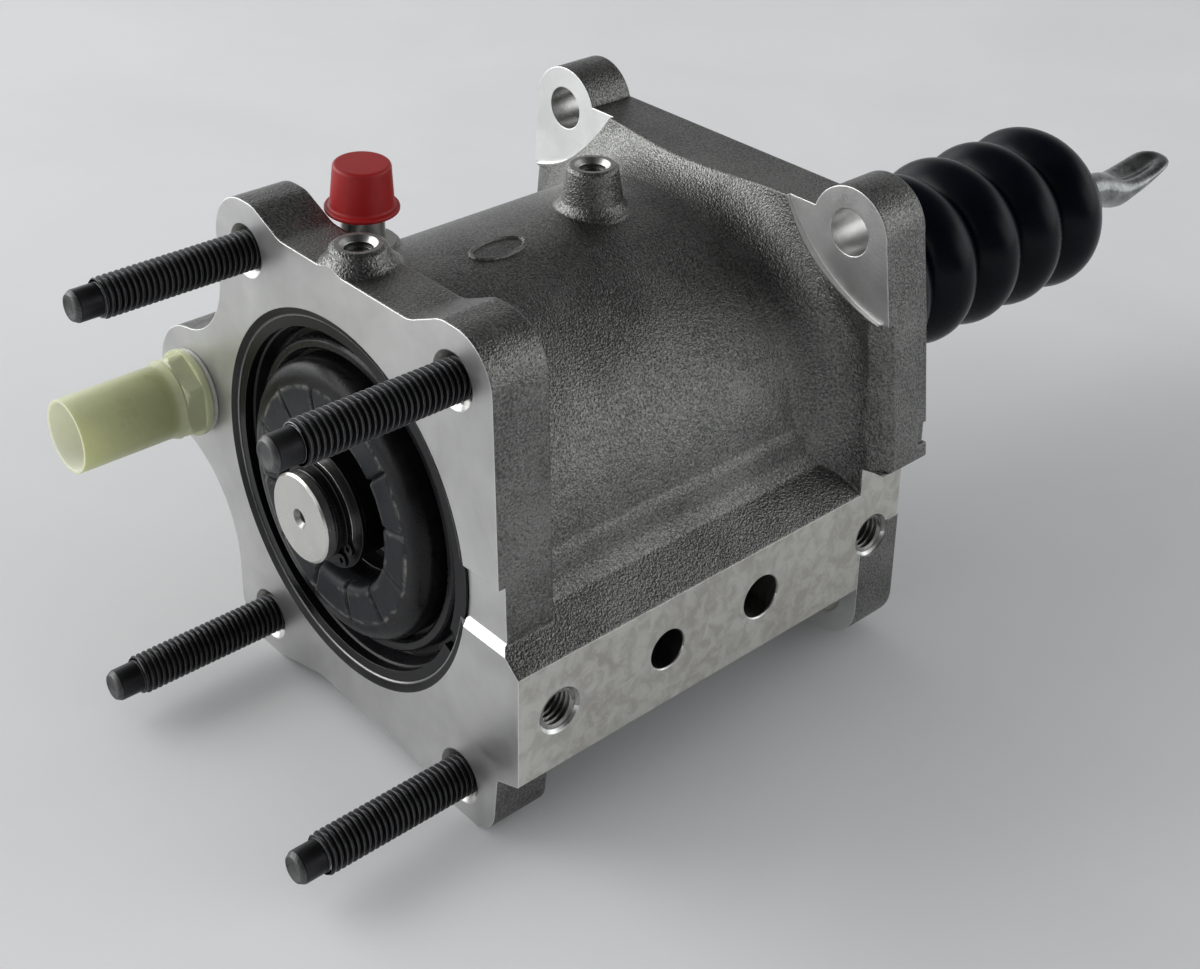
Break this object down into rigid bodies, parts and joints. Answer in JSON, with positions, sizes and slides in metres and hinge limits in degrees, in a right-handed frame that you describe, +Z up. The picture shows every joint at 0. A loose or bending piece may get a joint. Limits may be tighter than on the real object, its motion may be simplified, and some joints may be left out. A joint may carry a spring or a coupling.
{
  "type": "brake booster",
  "caption": "Air brake booster: cast housing with front studs, side rail and rear eared flange, sprung piston, push rod in a ribbed bellows and capped ports.",
  "frame": {"origin": "centre of the four-stud pattern on the machined front face", "axes": "+Y from the front face along the bore to the push rod, +Z up towards the top bosses, +X towards the side rail"},
  "size_m": [0.1556, 0.3871, 0.1359],
  "materials": {
    "cast_aluminium": "as-cast grain with machined faces",
    "piston_aluminium": "dark anodised",
    "black_phosphate": "black phosphate, oiled",
    "bright_steel": "ground",
    "zinc_steel": "zinc plated",
    "spring_steel": "drawn",
    "bronze": "turned",
    "rubber": "moulded",
    "boot_rubber": "moulded, slight sheen",
    "guide_plastic": "moulded",
    "red_plastic": "soft, slightly translucent",
    "green_plastic": "translucent",
    "pale_seal": "moulded"
  },
  "bodies": {
    "housing": {"housing": "cast_aluminium", "front_studs": "black_phosphate", "bore_retaining_ring": "black_phosphate", "rod_guide_bush": "bronze", "rod_seal": "rubber", "rod_seal_clip": "black_phosphate", "return_spring": "spring_steel", "dust_boot": "boot_rubber", "port_nipple": "zinc_steel", "air_port_ring": "pale_seal"},
    "piston": {"piston_body": "piston_aluminium", "piston_cushion": "rubber", "piston_seal": "rubber", "piston_guide_ring": "guide_plastic", "piston_shaft": "bright_steel", "thrust_disc": "bright_steel", "shaft_sleeve": "black_phosphate", "shaft_circlip": "black_phosphate", "spacer_ring": "bright_steel", "thrust_washer": "black_phosphate", "spring_seat": "zinc_steel", "push_rod": "zinc_steel", "push_rod_clip": "spring_steel"},
    "service_cap": {"red_cap": "red_plastic"},
    "air_plug": {"green_plug": "green_plastic"}
  },
  "joints": [
    {"name": "piston_slide", "type": "slide", "parent": "housing", "child": "piston", "axis": [0, 1, 0], "range_m": [0, 0.04], "stiffness_N_per_m": 600, "springref_m": -0.02, "deforming": ["return_spring", "dust_boot"]},
    {"name": "service_cap_pull", "type": "slide", "parent": "housing", "child": "service_cap", "axis": [0, 0, 1], "range_m": [0, 0.02]},
    {"name": "air_plug_pull", "type": "slide", "parent": "housing", "child": "air_plug", "axis": [0, -1, 0], "range_m": [0, 0.02]}
  ]
}
